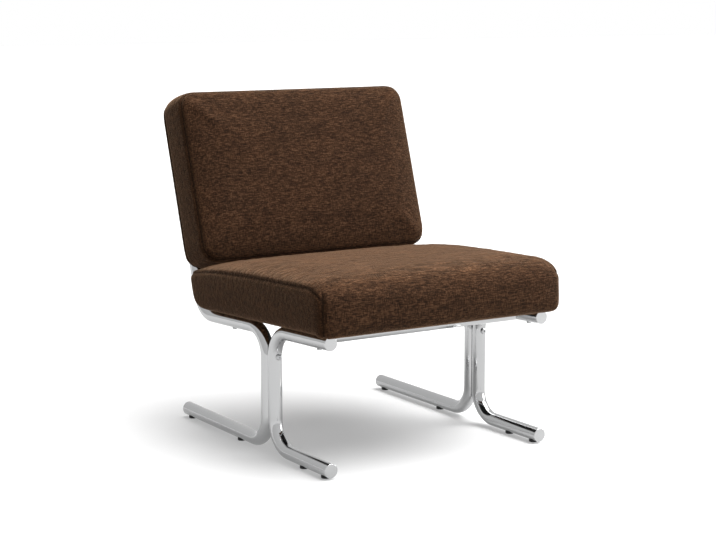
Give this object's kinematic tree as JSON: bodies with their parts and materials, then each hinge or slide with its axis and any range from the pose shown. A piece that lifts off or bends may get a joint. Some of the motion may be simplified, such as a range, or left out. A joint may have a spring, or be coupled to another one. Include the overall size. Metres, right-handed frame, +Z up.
{
  "type": "lounge chair",
  "caption": "Armless lounge chair with a dark brown fabric seat and back on bright bent-tube side frames.",
  "frame": {"origin": "on the floor, in the middle of the chair's plan", "axes": "+Z up, the front of the chair faces -Y, +X to the right as seen from the front"},
  "size_m": [0.646, 0.7636, 0.8],
  "materials": {
    "chrome_tube": "polished",
    "chrome_cap": "polished",
    "glide_plastic": "matte",
    "steel_fixing": "satin",
    "frame_timber": "matte",
    "webbing": "matte",
    "foam": "matte",
    "brown_fabric": "matte",
    "dust_cloth": "matte"
  },
  "bodies": {
    "root": {"left_front_tube": "chrome_tube", "left_rear_tube": "chrome_tube", "right_front_tube": "chrome_tube", "right_rear_tube": "chrome_tube", "front_cross_tube": "chrome_tube", "rear_cross_tube": "chrome_tube", "left_front_foot_cap": "chrome_cap", "left_front_rail_cap": "chrome_cap", "left_rear_foot_cap": "chrome_cap", "left_back_post_cap": "chrome_cap", "left_front_toe_glide": "glide_plastic", "left_front_heel_glide": "glide_plastic", "left_rear_toe_glide": "glide_plastic", "left_rear_heel_glide": "glide_plastic", "right_front_foot_cap": "chrome_cap", "right_front_rail_cap": "chrome_cap", "right_rear_foot_cap": "chrome_cap", "right_back_post_cap": "chrome_cap", "right_front_toe_glide": "glide_plastic", "right_front_heel_glide": "glide_plastic", "right_rear_toe_glide": "glide_plastic", "right_rear_heel_glide": "glide_plastic", "upright_bolts": "steel_fixing", "upright_rivet_nuts": "steel_fixing", "seat_bolts": "steel_fixing", "seat_tee_nuts": "steel_fixing", "back_bolts": "steel_fixing", "back_tee_nuts": "steel_fixing", "seat_front_timber": "frame_timber", "seat_rear_timber": "frame_timber", "seat_left_timber": "frame_timber", "seat_right_timber": "frame_timber", "back_left_stile": "frame_timber", "back_right_stile": "frame_timber", "back_top_timber": "frame_timber", "back_bottom_timber": "frame_timber", "seat_webbing": "webbing", "back_webbing": "webbing", "seat_foam": "foam", "back_foam": "foam", "back_rear_pad": "foam", "seat_cover": "brown_fabric", "back_cover": "brown_fabric", "back_rear_panel": "brown_fabric", "seat_dust_cover": "dust_cloth"}
  },
  "joints": []
}
